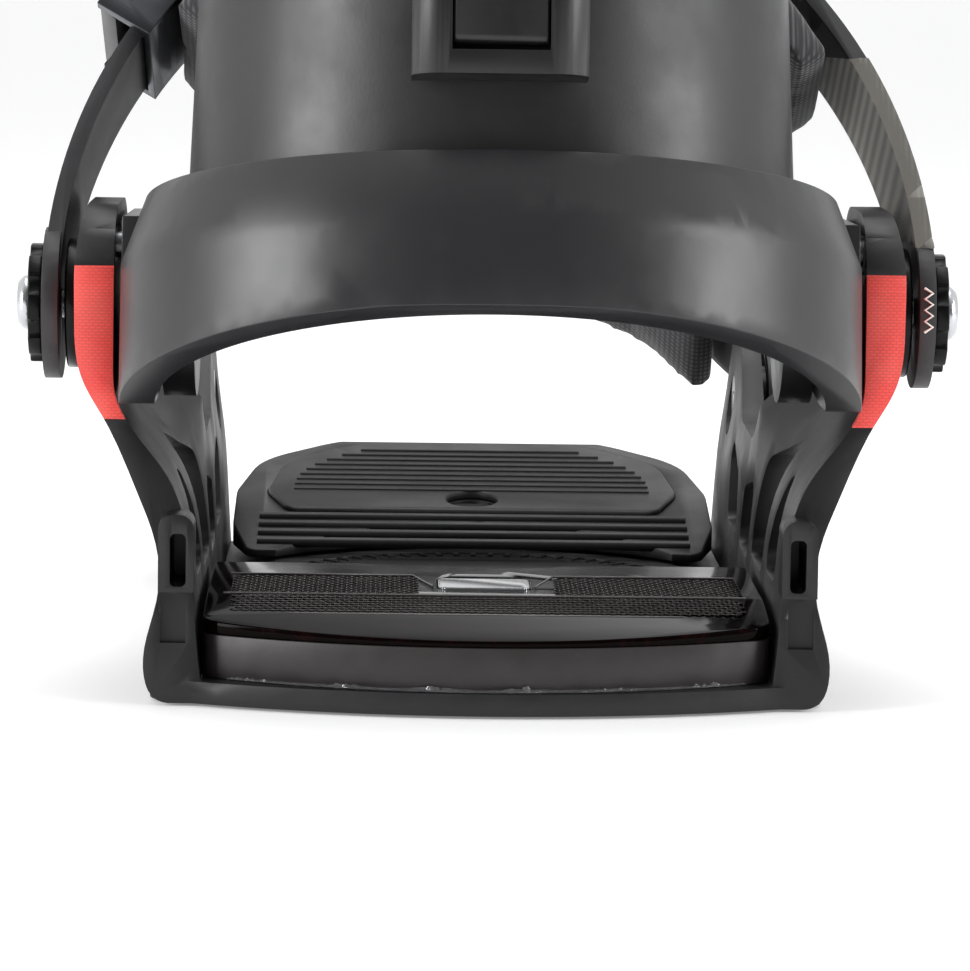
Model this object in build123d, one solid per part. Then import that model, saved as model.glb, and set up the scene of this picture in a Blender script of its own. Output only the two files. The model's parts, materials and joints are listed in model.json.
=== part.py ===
"""Snowboard strap binding: chassis, mounting disc, toe ramp, heel hoop, highback, ankle and toe straps.

Millimetres. +X is to the right seen from the heel, +Y points to the toe, +Z up.
The origin is the centre of the mounting disc on the board's top face.
"""
from build123d import *
from math import atan2, cos, degrees, radians, sin, tan
import os

# ---- clearances
MOVE_GAP = 0.3            # between pieces of different bodies
TOUCH_GAP = 0.05          # between pieces that lie against each other
PIN_GAP = 0.06            # radial clearance of a hinge pin

# ---- base
RIM_REAR_Y = -125.0       # rear edge of the base on the centre line
RIM_CORNER_Y = -110.0     # rear edge of the base at its corners
BASE_HALF = 61.2
FLOOR_TOP = 4.0
FLOOR_FRONT_Y = 78.0
FLOOR_FRONT_HALF = 57.0
WALL_TOP = 88.5
CUSHION_T = 1.5

# ---- mounting disc
DISC_R = 45.0
HUB_R = 39.0
DISC_TOP = 6.5
LEDGE_Z = 2.6
SCREW_SPACING = 40.0
SCREW_HOLE_R = 3.2
SEAT_RING_R = 51.0

# ---- heel pad
PAD_HALF = 51.6
PAD_REAR_Y = -123.0
PAD_CORNER_Y = -109.0
PAD_FRONT_Y = -46.0
PAD_FOAM_TOP = 12.0
PAD_TOP = 16.5
PAD_BEVEL_RUN = 20.0
BADGE_HALF = 8.6
BADGE_REAR_Y = -80.0
BADGE_FRONT_Y = -68.0

# ---- toe ramp
RAMP_LOW = (31.0, 8.6)     # Y and Z where the ramp's top begins
RAMP_HIGH = (117.0, 23.2)  # Y and Z where it ends
RAMP_SCREW_Y = 66.0
TREAD_T = 1.8

# ---- ankle pivot, shared by the ankle strap and the highback
ANKLE_Y = -80.0
ANKLE_Z = 69.4
ARM_OUTER = 75.3
ARM_INNER = 68.2
STRAP_END_IN = 79.0       # inner face of the ankle strap's end discs
STRAP_T = 3.0
ANKLE_END_R = 14.0
BOLT_R = 3.0

# ---- toe pivot
TOE_Y = 55.0
TOE_Z = 38.0
TOE_END_IN = 62.8
TOE_END_R = 11.0
TOE_NUT_X = 56.0

# ---- heel hoop
HOOP_OUTER = 66.7
HOOP_INNER = 60.2
HOOP_BEND_Y = -105.0
HOOP_CREASE_Z = 78.0
HOOP_TILT = 13.1          # degrees that the crease climbs towards the rear
HOOP_REACH = 61.6
HOOP_ARM = 48.0
HOOP_LIP_H = 12.0
HOOP_LIP_LEAN = 20.0
HOOP_BOLT_Z = 81.0
HOOP_BOLT_DY = 9.0
NUT_HALF = 3.2

# ---- highback
EAR_IN = 53.9
EAR_OUT = 59.9
EAR_R = 17.0
SHELL_T = 5.0
BACK_TOP_Z = 266.0
BACK_LOW_Z = 55.0
BACK_HIGH_Z = 272.0
BACK_LOW = (56.5, 55.0, -100.0)    # half width, reach and centre Y of the lowest section
BACK_HIGH = (47.5, 50.0, -76.0)    # the same at the highest section
LINING_T = 4.5

# ---- straps
ANKLE_LIFT = 60.0         # slope of the closed ankle strap's plane
ANKLE_A = 80.5
ANKLE_B = 92.0
ANKLE_PAD_T = 9.0
ANKLE_PAD_HALF_W = 30.0
LADDER_W = 20.0
BUCKLE_W = 26.4
CHEEK_T = 2.0
BUCKLE_FLOOR_T = 1.6
TOE_LIFT = 25.0           # slope of the closed toe strap's plane
TOE_B = 86.0
TOE_PAD_T = 7.0
TOE_PAD_HALF_W = 17.0

NODES = {}
HINGES = {}               # hinge points of the straps' levers and pawls, in the row frame


def solid_of(shape):
    """Return the shape as one plain solid where it holds only one."""
    found = shape.solids()
    return found[0] if len(found) == 1 else Compound(children=list(found))


def keep(name, shape):
    """File a finished piece under its node name."""
    NODES[name] = solid_of(shape)


def both_sides(shape):
    """The piece and its mirror image across the centre line."""
    return shape + mirror(shape, about=Plane.YZ)


def side_prism(points, radii, x_from, x_to):
    """Prism along X over a YZ outline with rounded corners."""
    outline = FilletPolyline(*points, radius=radii, close=True)
    face = Plane.YZ * make_face(outline)
    return extrude(face, amount=x_to - x_from).moved(Location((x_from, 0, 0)))


def x_rod(radius, x_from, x_to, y, z):
    """Round bar along X."""
    bar = Cylinder(radius, x_to - x_from, align=(Align.CENTER, Align.CENTER, Align.MIN))
    return Location((x_from, y, z), (0, 90, 0)) * bar


def z_rod(radius, x, y, z_from, z_to):
    """Round bar along Z."""
    bar = Cylinder(radius, z_to - z_from, align=(Align.CENTER, Align.CENTER, Align.MIN))
    return bar.moved(Location((x, y, z_from)))


def block(x0, x1, y0, y1, z0, z1):
    """Box between two corners."""
    box = Box(x1 - x0, y1 - y0, z1 - z0, align=(Align.MIN, Align.MIN, Align.MIN))
    return box.moved(Location((x0, y0, z0)))


def bowed_face(half, rear_y, corner_y, front_half, front_y):
    """Plan shape with a bowed rear edge and straight sides."""
    rear = Edge.make_three_point_arc((-half, corner_y), (0, rear_y), (half, corner_y))
    right = Edge.make_line((half, corner_y), (front_half, front_y))
    front = Edge.make_line((front_half, front_y), (-front_half, front_y))
    left = Edge.make_line((-front_half, front_y), (-half, corner_y))
    return Face(Wire([rear, right, front, left]))


# ============================================================ chassis
def wall_section(y, outer, inner):
    """Closed XZ section of the right side wall at one station, both lines from the floor up."""
    up = [(x, y, z) for x, z in outer]
    down = [(x, y, z) for x, z in reversed(inner)]
    edges = [
        Edge.make_spline(up),
        Edge.make_line(up[-1], down[0]),
        Edge.make_spline(down),
        Edge.make_line(down[-1], up[0]),
    ]
    return Face(Wire(edges))


def right_wall():
    """Side wall: a flared arm at the heel that runs into a low upright wall at the toe."""
    heel_out = [(57.5, 0), (60.8, 1.8), (61.9, 5), (61.8, 10), (59.6, 19), (60.0, 28), (63.4, 37), (69.6, 50),
                (74.0, 58), (ARM_OUTER, 70), (75.2, 80), (73.2, 90)]
    heel_in = [(51.0, 0), (52.2, 8), (53.0, 17), (54.4, 30), (58.0, 40), (64.6, 48.5), (67.6, 54), (ARM_INNER, 60),
               (ARM_INNER, 70), (ARM_INNER, 80), (ARM_INNER, 90)]
    mid_out = [(57.5, 0), (60.4, 1.8), (61.2, 5), (61.0, 10), (59.4, 20), (59.8, 28), (60.4, 40), (60.9, 50),
               (61.2, 60), (61.4, 70), (61.5, 80), (61.5, 90)]
    mid_in = [(51.0, 0), (52.2, 8), (53.0, 17), (54.0, 30), (54.8, 40), (55.2, 48.5), (55.4, 54), (55.6, 60), (56, 90)]
    toe_out = [(57.0, 0), (59.6, 1.8), (60.4, 5), (60.4, 10), (59.6, 20), (59.8, 28), (60.2, 37), (60.4, 50),
               (60.5, 58), (60.5, 70), (60.5, 80), (60.5, 90)]
    toe_in = [(52.6, 0), (53.2, 8), (53.6, 17), (54.4, 30), (55.6, 40), (56.2, 48.5), (56.3, 54), (56.4, 60), (56.4, 90)]
    stations = [
        wall_section(-118, heel_out, heel_in),
        wall_section(-54, heel_out, heel_in),
        wall_section(-30, mid_out, mid_in),
        wall_section(15, toe_out, toe_in),
        wall_section(82, toe_out, toe_in),
    ]
    body = loft(stations, ruled=True)
    side = [(-114, -1), (-112, 16), (-104, 50), (-102, WALL_TOP), (-58, WALL_TOP), (-50, 58), (-14, 38),
            (22, 38), (40, 52), (68, 52), (79, 8), (79, -1)]
    radii = [0.5, 6, 14, 15, 16, 14, 20, 12, 8, 12, 6, 0.5]
    body = body & side_prism(side, radii, 40, 90)
    windows = [
        ([(-94, 20), (-72, 20), (-84, 43)], [3, 3, 3]),
        ([(-64, 18), (-38, 18), (-44, 38), (-70, 45)], [3, 3, 4, 3]),
        ([(-30, 16), (-4, 16), (-8, 28), (-32, 32)], [3, 3, 4, 4]),
        ([(6, 16), (32, 16), (36, 34), (12, 28)], [3, 3, 4, 4]),
    ]
    for outline, corner in windows:
        body = body - side_prism(outline, corner, 40, 90)
    frame = block(52.9, 59.3, -115.5, -106, 20.4, 34.4)
    frame = fillet(frame.edges().filter_by(Axis.Y).sort_by(Axis.Z)[-2:], radius=2.6)
    body = body + frame
    slot = block(54.3, 57.2, -120, -99, 21.4, 31.0)
    slot = fillet(slot.edges().filter_by(Axis.Y), radius=1.0)
    body = body - slot - block(54.4, 59.0, -120, -111.4, 10.8, 18.8)
    return body


def wall_cuts():
    """Holes and grooves in the right side wall."""
    cuts = x_rod(BOLT_R, 55, 90, ANKLE_Y, ANKLE_Z)
    cuts += x_rod(7.5, 60, ARM_INNER + 1.7, ANKLE_Y, ANKLE_Z)
    cuts += x_rod(BOLT_R, 45, 70, TOE_Y, TOE_Z)
    cuts += x_rod(6.5, 50, TOE_NUT_X + 1.1, TOE_Y, TOE_Z)
    groove = NUT_HALF + MOVE_GAP
    cuts += block(60, ARM_INNER + 3.6, ANKLE_Y - 18, ANKLE_Y + 18, HOOP_BOLT_Z - groove, HOOP_BOLT_Z + groove)
    return cuts


INSERT_SIDE = [(-107, 49.5), (-94, 53), (-88, 58), (-88, 78), (-107, 78)]
INSERT_RADII = [1, 4, 4, 5, 1]
INSERT_T = 1.6


def insert_shell(wall, grow):
    """Layer that wraps the heel-side edge of an arm; grow opens it up to cut its recess."""
    prism = side_prism(INSERT_SIDE, INSERT_RADII, 63.5, 90)
    core = wall.moved(Location((-INSERT_T - grow, INSERT_T + grow, 0)))
    return (wall & prism) - core


def baseplate_and_inserts():
    """Moulded base with its side walls, and the coloured inserts let into the arms."""
    wall = right_wall()
    insert = insert_shell(wall, 0)
    wall = wall - insert_shell(wall, TOUCH_GAP) - wall_cuts()
    floor_face = bowed_face(BASE_HALF, RIM_REAR_Y, RIM_CORNER_Y, FLOOR_FRONT_HALF, FLOOR_FRONT_Y)
    floor = extrude(floor_face, amount=FLOOR_TOP)
    rear_edges = floor.edges().filter_by(Axis.Z).sort_by(Axis.Y)[:2]
    floor = fillet(rear_edges, radius=7)
    floor += z_rod(SEAT_RING_R, 0, 0, 0, DISC_TOP)
    rail = block(36, 42, 30, FLOOR_FRONT_Y - 2, FLOOR_TOP - 1, FLOOR_TOP + 2.4)
    body = floor + both_sides(wall) + both_sides(rail)
    body -= z_rod(HUB_R + MOVE_GAP, 0, 0, -1, 20)
    body -= z_rod(DISC_R + MOVE_GAP, 0, 0, LEDGE_Z, 20)
    body -= rear_cushion_shape(TOUCH_GAP)
    body -= front_cushion_shape(TOUCH_GAP)
    for x in (-30, 30):
        body -= z_rod(1.9, x, -95, -1, 20)
    keep("baseplate", body)
    keep("arm_insert_right", insert)
    keep("arm_insert_left", mirror(insert, about=Plane.YZ))


def rear_cushion_shape(grow):
    """Soft strip let into the underside behind the disc."""
    face = bowed_face(48 + grow, -116 - grow, -104 - grow, 48 + grow, -60 + grow)
    strip = extrude(face, amount=CUSHION_T + grow)
    return strip - z_rod(SEAT_RING_R + 2 - grow, 0, 0, -1, 5)


def front_cushion_shape(grow):
    """Soft strip let into the underside ahead of the disc."""
    strip = block(-46 - grow, 46 + grow, 56 - grow, 72 + grow, 0, CUSHION_T + grow)
    return strip


def heel_pad():
    """Foam wedge, its glossy cap with a bevelled rear, a plain badge plate and two screws."""
    ring = z_rod(SEAT_RING_R + 0.5, 0, 0, 0, 40)
    face = bowed_face(PAD_HALF, PAD_REAR_Y, PAD_CORNER_Y, PAD_HALF, PAD_FRONT_Y)
    foam = extrude(face, amount=PAD_FOAM_TOP - FLOOR_TOP - TOUCH_GAP)
    foam = foam.moved(Location((0, 0, FLOOR_TOP + TOUCH_GAP)))
    foam = fillet(foam.edges().filter_by(Axis.Z).sort_by(Axis.Y)[:2], radius=6) - ring
    cap = extrude(face, amount=PAD_TOP - PAD_FOAM_TOP - TOUCH_GAP)
    cap = cap.moved(Location((0, 0, PAD_FOAM_TOP + TOUCH_GAP)))
    cap = fillet(cap.edges().filter_by(Axis.Z).sort_by(Axis.Y)[:2], radius=6)
    slope = [(-130, PAD_FOAM_TOP + 0.6), (RIM_REAR_Y + PAD_BEVEL_RUN + 16, PAD_TOP), (-130, 40)]
    wedge = Plane.YZ * make_face(Polyline(*slope, close=True))
    cap = cap - extrude(wedge, amount=70, both=True) - ring
    cap = cap - block(-BADGE_HALF - 0.2, BADGE_HALF + 0.2, BADGE_REAR_Y - 0.2, BADGE_FRONT_Y + 0.2, PAD_TOP - 0.6,
                      PAD_TOP + 1)
    badge = block(-BADGE_HALF, BADGE_HALF, BADGE_REAR_Y, BADGE_FRONT_Y, PAD_TOP - 0.55, PAD_TOP + 0.35)
    badge = fillet(badge.edges().filter_by(Axis.Z), radius=2)
    screws = Part()
    for x in (-30, 30):
        foam -= z_rod(1.9, x, -95, 0, 20)
        foam -= z_rod(4.2, x, -95, 9, 20)
        screws += z_rod(1.75, x, -95, CUSHION_T + 0.3, 9.5) + z_rod(4.0, x, -95, 9.1, 11.6)
    keep("heel_pad_foam", foam)
    keep("heel_pad_cap", cap)
    keep("heel_badge", badge)
    keep("heel_pad_screws", screws)
    keep("rear_cushion", rear_cushion_shape(0))
    keep("front_cushion", front_cushion_shape(0))


def ankle_fasteners():
    """Bolt with faceted head, lobed knob, spacer washer and T-nut on each arm."""
    head = Location((86.0, ANKLE_Y, ANKLE_Z), (0, 90, 0)) * Cylinder(5.0, 2.4)
    head = chamfer(head.edges().filter_by(GeomType.CIRCLE).sort_by(Axis.X)[-1], length=1.1)
    bolt = head + x_rod(BOLT_R - 0.25, ARM_INNER + 0.4, 85.5, ANKLE_Y, ANKLE_Z)
    knob = x_rod(11.0, 82.0 + MOVE_GAP, 84.8, ANKLE_Y, ANKLE_Z)
    for lobe in range(8):
        angle = radians(45 * lobe + 22.5)
        notch = x_rod(3.0, 80, 88, ANKLE_Y + 13.0 * cos(angle), ANKLE_Z + 13.0 * sin(angle))
        knob -= notch
    knob -= x_rod(BOLT_R, 80, 90, ANKLE_Y, ANKLE_Z)
    washer = x_rod(12.0, ARM_OUTER + 0.1, STRAP_END_IN - 1.1, ANKLE_Y, ANKLE_Z)
    washer -= x_rod(BOLT_R, 70, 90, ANKLE_Y, ANKLE_Z)
    nut = x_rod(7.3, ARM_INNER + 0.1, ARM_INNER + 1.6, ANKLE_Y, ANKLE_Z)
    nut -= x_rod(BOLT_R, 60, 70, ANKLE_Y, ANKLE_Z)
    keep("ankle_bolts", both_sides(bolt))
    for side, flip in (("right", False), ("left", True)):
        keep("ankle_knob_" + side, mirror(knob, about=Plane.YZ) if flip else knob)
        keep("ankle_washer_" + side, mirror(washer, about=Plane.YZ) if flip else washer)
    keep("ankle_tnuts", both_sides(nut))


def toe_fasteners():
    """Bolt, washer and T-nut at each toe strap end."""
    out = TOE_END_IN + STRAP_T
    bolt = x_rod(6.0, out + 0.5, out + 3.0, TOE_Y, TOE_Z)
    bolt = chamfer(bolt.edges().filter_by(GeomType.CIRCLE).sort_by(Axis.X)[-1], length=0.9)
    bolt += x_rod(BOLT_R - 0.25, TOE_NUT_X, out + 1.0, TOE_Y, TOE_Z)
    washer = x_rod(8.5, 60.6, TOE_END_IN - MOVE_GAP, TOE_Y, TOE_Z) - x_rod(BOLT_R, 50, 70, TOE_Y, TOE_Z)
    nut = x_rod(6.3, TOE_NUT_X, TOE_NUT_X + 1.0, TOE_Y, TOE_Z) - x_rod(BOLT_R, 50, 70, TOE_Y, TOE_Z)
    keep("toe_bolts", both_sides(bolt))
    keep("toe_washers", both_sides(washer))
    keep("toe_tnuts", both_sides(nut))


# ============================================================ mounting disc
def mounting_disc():
    """Disc that clamps the base to the board and sets the stance angle."""
    disc = z_rod(HUB_R, 0, 0, 0, DISC_TOP - 0.2) + z_rod(DISC_R, 0, 0, LEDGE_Z + 0.2, DISC_TOP - 0.2)
    top_edge = disc.edges().filter_by(GeomType.CIRCLE).sort_by(Axis.Z)[-1]
    disc = chamfer(top_edge, length=1.2)
    half = SCREW_SPACING / 2
    for x in (-half, half):
        for y in (-half, half):
            disc -= z_rod(SCREW_HOLE_R, x, y, -1, 10)
            sink = Cone(SCREW_HOLE_R, 6.2, 3.0, align=(Align.CENTER, Align.CENTER, Align.MIN))
            disc -= sink.moved(Location((x, y, DISC_TOP - 3.0)))
    disc -= z_rod(9.0, 0, 0, DISC_TOP - 1.4, 10)
    for x in (-34, 34):
        disc -= block(x - 1.5, x + 1.5, -9, 9, DISC_TOP - 1.6, 10)
    cover = z_rod(8.8, 0, 0, DISC_TOP - 1.35, DISC_TOP + 0.1)
    keep("mounting_disc", disc)
    keep("disc_cover", cover)


# ============================================================ toe ramp
def ramp_z(y):
    """Height of the ramp's top at a station."""
    share = (y - RAMP_LOW[0]) / (RAMP_HIGH[0] - RAMP_LOW[0])
    return RAMP_LOW[1] + share * (RAMP_HIGH[1] - RAMP_LOW[1])


def slope_layer(bottom, top):
    """Slab that follows the ramp's slope between two offsets from its top."""
    line = [(40, ramp_z(40) + bottom), (130, ramp_z(130) + bottom), (130, ramp_z(130) + top), (40, ramp_z(40) + top)]
    return extrude(Plane.YZ * make_face(Polyline(*line, close=True)), amount=60, both=True)


def toe_ramp():
    """Sliding wedge under the toes with a rubber tread and one clamp screw."""
    front, top = RAMP_HIGH
    plan = [(-48, 31), (48, 31), (51.6, 50), (51.6, 74), (47, 98), (26, front), (-26, front), (-47, 98),
            (-51.6, 74), (-51.6, 50)]
    radii = [3, 3, 10, 20, 24, 30, 30, 24, 20, 10]
    body = extrude(make_face(FilletPolyline(*plan, radius=radii, close=True)), amount=40)
    side = [(20, 6.9), (80, 6.9), (82, 2.0), (108, 2.0), (front, 9.0), (front, top - 3), (front - 4, top - 0.6),
            RAMP_LOW, (20, 7.0)]
    body = body & extrude(Plane.YZ * make_face(Polyline(*side, close=True)), amount=60, both=True)
    body = body - z_rod(SEAT_RING_R + 1.0, 0, 0, 0, 30)
    tread_plan = [(-40, 58), (40, 58), (45, 72), (42, 94), (24, 110), (-24, 110), (-42, 94), (-45, 72)]
    tread_radii = [4, 4, 12, 20, 24, 24, 20, 12]
    tread = extrude(make_face(FilletPolyline(*tread_plan, radius=tread_radii, close=True)), amount=40)
    seat = tread & slope_layer(-0.8 - TOUCH_GAP, 20)
    tread = tread & slope_layer(-0.8, TREAD_T - 0.8)
    hole = z_rod(5.6, 0, RAMP_SCREW_Y, 0, 40)
    well = hole & block(-9, 9, 57, 75, 9.5, 40)
    body = body - seat - z_rod(2.6, 0, RAMP_SCREW_Y, 0, 40) - well
    tread = tread - hole
    screw = z_rod(5.3, 0, RAMP_SCREW_Y, 9.6, 13.8) + z_rod(2.4, 0, RAMP_SCREW_Y, 7.0, 9.9)
    keep("toe_ramp", body)
    keep("toe_tread", tread)
    keep("toe_ramp_screw", screw)


# ============================================================ heel hoop
HOOP_PLANE = Plane(origin=(0, HOOP_BEND_Y, HOOP_CREASE_Z), x_dir=(1, 0, 0),
                   z_dir=(0, sin(radians(HOOP_TILT)), cos(radians(HOOP_TILT))))


def hoop_face(half, reach, arm):
    """Plan of a hoop: two straight arms joined by half an ellipse."""
    bend = Edge.make_ellipse(half, reach, start_angle=180, end_angle=360)
    right = Edge.make_line((half, 0), (half, arm))
    front = Edge.make_line((half, arm), (-half, arm))
    left = Edge.make_line((-half, arm), (-half, 0))
    return Face(Wire([bend, right, front, left]))


def heel_hoop():
    """Band around the heel, creased so that its top leans in, bolted inside the arms."""
    wall = HOOP_OUTER - HOOP_INNER
    outer = hoop_face(HOOP_OUTER, HOOP_REACH, HOOP_ARM)
    inner = hoop_face(HOOP_INNER, HOOP_REACH - wall, HOOP_ARM + 5)
    low = extrude(outer, amount=-45) - extrude(inner, amount=-46)
    arms = extrude(outer, amount=25) - extrude(inner, amount=26)
    arms = arms & block(-80, 80, 0, 60, -1, 30)
    lean_in = HOOP_LIP_H * tan(radians(HOOP_LIP_LEAN))
    outer_top = hoop_face(HOOP_OUTER - lean_in, HOOP_REACH - lean_in, HOOP_ARM)
    inner_top = hoop_face(HOOP_INNER - lean_in, HOOP_REACH - wall - lean_in, HOOP_ARM + 5)
    rise = Location((0, 0, HOOP_LIP_H))
    lip = loft([outer, outer_top.moved(rise)], ruled=True) - loft([inner, inner_top.moved(rise)], ruled=True)
    lip = lip & block(-80, 80, -80, 0, -1, 30)
    band = (low + arms + lip).moved(HOOP_PLANE.location)
    side = [(-57, 57), (-57, 86), (-104, 87), (-118, 125), (-180, 125), (-180, 80), (-166, 76.5), (-113, 54),
            (-100, 54)]
    radii = [6, 9, 3, 3, 3, 1, 4, 10, 6]
    band = band & side_prism(side, radii, -80, 80)
    bolts = Part()
    nuts = Part()
    for dy in (-HOOP_BOLT_DY, HOOP_BOLT_DY):
        y = ANKLE_Y + dy
        head = HOOP_INNER + 3.2
        band -= both_sides(x_rod(2.6, 50, 70, y, HOOP_BOLT_Z) + x_rod(5.2, 50, head, y, HOOP_BOLT_Z))
        bolts += x_rod(5.0, HOOP_INNER + 0.3, head - 0.1, y, HOOP_BOLT_Z)
        bolts += x_rod(2.4, head - 0.2, ARM_INNER + 2.6, y, HOOP_BOLT_Z)
        nut = block(ARM_INNER + 0.3, ARM_INNER + 3.1, y - NUT_HALF, y + NUT_HALF, HOOP_BOLT_Z - NUT_HALF, HOOP_BOLT_Z + NUT_HALF)
        nuts += nut - x_rod(2.45, 60, 75, y, HOOP_BOLT_Z)
    band -= both_sides(x_rod(3.0, 50, HOOP_INNER + 5.5, ANKLE_Y, ANKLE_Z))
    pivot = x_rod(6.5, EAR_IN + 0.1, EAR_IN + 1.9, ANKLE_Y, ANKLE_Z)
    pivot += x_rod(4.0, EAR_IN + 1.8, HOOP_INNER - 0.05, ANKLE_Y, ANKLE_Z)
    pivot += x_rod(2.95, HOOP_INNER - 0.1, HOOP_INNER + 5.3, ANKLE_Y, ANKLE_Z)
    keep("heel_hoop", band)
    keep("hoop_bolts", both_sides(bolts))
    keep("hoop_nuts", both_sides(nuts))
    keep("highback_pivot_screws", both_sides(pivot))


# ============================================================ highback
def back_section(z, half, reach, centre_y, front_y, thickness):
    """Closed U-shaped plan section of the highback at one height."""
    def ring(shrink):
        bend = Edge.make_ellipse(half - shrink, reach - shrink, start_angle=180, end_angle=360)
        bend = bend.moved(Location((0, centre_y, z)))
        ends = [(half - shrink, centre_y, z), (half - shrink, front_y, z)]
        return bend, ends
    outer_bend, outer_ends = ring(0)
    inner_bend, inner_ends = ring(thickness)
    flip = [(-x, y, w) for x, y, w in outer_ends], [(-x, y, w) for x, y, w in inner_ends]
    edges = [
        outer_bend, Edge.make_line(outer_ends[0], outer_ends[1]), Edge.make_line(outer_ends[1], inner_ends[1]),
        Edge.make_line(inner_ends[1], inner_ends[0]), inner_bend, Edge.make_line(flip[1][0], flip[1][1]),
        Edge.make_line(flip[1][1], flip[0][1]), Edge.make_line(flip[0][1], flip[0][0]),
    ]
    return Face(Wire(edges))


def back_loft(inset, thickness):
    """U-shaped shell that leans forward and narrows towards the top."""
    low = back_section(BACK_LOW_Z, BACK_LOW[0] - inset, BACK_LOW[1] - inset, BACK_LOW[2], -60, thickness)
    high = back_section(BACK_HIGH_Z, BACK_HIGH[0] - inset, BACK_HIGH[1] - inset, BACK_HIGH[2], -40, thickness)
    return loft([low, high], ruled=True)


def highback():
    """Shell with two ears on the pivot, foam lining and its rivets."""
    shell = back_loft(0, SHELL_T)
    side = [(-90, 64), (-118, 79), (-152, 85), (-170, 84), (-170, 150), (-150, BACK_TOP_Z), (-96, BACK_TOP_Z),
            (-104, 190), (-98, 140), (-66, 84), (-68, 62)]
    radii = [6, 12, 1, 1, 1, 1, 8, 30, 24, 8, 4]
    shell = shell & side_prism(side, radii, -80, 80)
    crown = [(-70, 50), (-70, 190), (-42, BACK_TOP_Z), (42, BACK_TOP_Z), (70, 190), (70, 50)]
    crown_face = Plane.XZ * make_face(FilletPolyline(*crown, radius=[1, 30, 34, 34, 30, 1], close=True))
    shell = shell & extrude(crown_face, amount=200)
    slot = Plane.XZ * (Pos(0, 172) * RectangleRounded(9, 40, 4.4))
    shell = shell - extrude(slot, amount=200)
    for side_x in (-1, 1):
        vent = Plane.XZ * (Pos(side_x * 21, 205) * Rot(0, 0, side_x * 8) * RectangleRounded(11, 46, 5.4))
        shell = shell - extrude(vent, amount=200)
    ear = x_rod(EAR_R, EAR_IN, EAR_OUT, ANKLE_Y, ANKLE_Z)
    web = side_prism([(-94, 66), (-106, 92), (-72, 92), (-64, 72)], [2, 6, 6, 3], EAR_IN - 2.5, EAR_OUT - 1.2)
    bore = x_rod(4.0 + PIN_GAP, 50, 60, ANKLE_Y, ANKLE_Z) + x_rod(6.8, 48, EAR_IN + 2.0, ANKLE_Y, ANKLE_Z)
    shell = shell + both_sides(ear + web) - both_sides(bore)
    lining = back_loft(SHELL_T + TOUCH_GAP, LINING_T)
    pad_side = [(-170, 100), (-108, 108), (-108, 150), (-112, 190), (-104, 250), (-170, 250)]
    lining = lining & side_prism(pad_side, [1, 10, 20, 20, 8, 1], -80, 80)
    pad_crown = [(-40, 96), (-40, 210), (-30, 254), (30, 254), (40, 210), (40, 96)]
    pad_face = Plane.XZ * make_face(FilletPolyline(*pad_crown, radius=[12, 20, 20, 20, 20, 12], close=True))
    lining = lining & extrude(pad_face, amount=200)
    keep("highback_shell", shell)
    keep("highback_lining", lining)


def back_face_y(z):
    """Y of the highback's rear face on the centre line at a height."""
    share = (z - BACK_LOW_Z) / (BACK_HIGH_Z - BACK_LOW_Z)
    rear = [section[2] - section[1] for section in (BACK_LOW, BACK_HIGH)]
    return rear[0] + (rear[1] - rear[0]) * share


def lean_adjuster():
    """Block that rests on the hoop and its clamp lever, both on the slope of the highback."""
    z0, z1 = 113.5, 141.0
    lean = degrees(atan2(back_face_y(z1) - back_face_y(z0), z1 - z0))
    foot = Location((0, back_face_y(z0) - MOVE_GAP, z0), (-lean, 0, 0))
    body = Box(30, 15, z1 - z0, align=(Align.CENTER, Align.MAX, Align.MIN))
    body = fillet(body.edges().filter_by(Axis.Z).sort_by(Axis.Y)[:2], radius=6)
    hollow = Cylinder(60, 40, align=(Align.CENTER, Align.CENTER, Align.MIN))
    body = body - hollow.moved(Location((0, 57.6, -5)))
    lever_cut = Box(16.6, 8, 20, align=(Align.CENTER, Align.MAX, Align.MIN)).moved(Location((0, -8.6, 4)))
    body = body - lever_cut
    lever = Box(16, 4.5, 18, align=(Align.CENTER, Align.MAX, Align.MIN)).moved(Location((0, -10.2, 5)))
    lever = fillet(lever.edges().filter_by(Axis.X).sort_by(Axis.Y)[:2], radius=1.6)
    pin = Location((0, -12.2, 20.5), (0, 90, 0)) * Cylinder(1.2, 24)
    lever = lever - (Location((0, -12.2, 20.5), (0, 90, 0)) * Cylinder(1.2 + PIN_GAP, 24))
    body = body - (Location((0, -12.2, 20.5), (0, 90, 0)) * Cylinder(1.2, 24))
    keep("lean_block", body.moved(foot))
    keep("lean_lever", lever.moved(foot))
    keep("lean_pin", pin.moved(foot))


# ============================================================ straps
def strap_plane(y, z, lift):
    """Plane of a closed strap: X across, second axis forward and up along the strap."""
    return Plane(origin=(0, y, z), x_dir=(1, 0, 0), z_dir=(0, -sin(radians(lift)), cos(radians(lift))))


def offset_line(points, distance):
    """Points moved sideways off a line, to the left of its direction of travel."""
    moved = []
    for i, (x, y) in enumerate(points):
        x0, y0 = points[max(i - 1, 0)]
        x1, y1 = points[min(i + 1, len(points) - 1)]
        run = ((x1 - x0) ** 2 + (y1 - y0) ** 2) ** 0.5
        moved.append((x - (y1 - y0) / run * distance, y + (x1 - x0) / run * distance))
    return moved


def ribbon(points, inner, outer, width):
    """Strip whose faces lie inner and outer off a smooth line, extruded evenly to both sides."""
    near = offset_line(points, inner)
    far = offset_line(points, outer)
    far.reverse()
    edges = [
        Edge.make_spline(near), Edge.make_line(near[-1], far[0]),
        Edge.make_spline(far), Edge.make_line(far[-1], near[0]),
    ]
    return extrude(Face(Wire(edges)), amount=width / 2, both=True)


def ellipse_arc(a, b, start, end, count):
    """Evenly spaced points on an ellipse between two angles in degrees."""
    step = (end - start) / (count - 1)
    return [(a * cos(radians(start + i * step)), b * sin(radians(start + i * step))) for i in range(count)]


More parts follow.
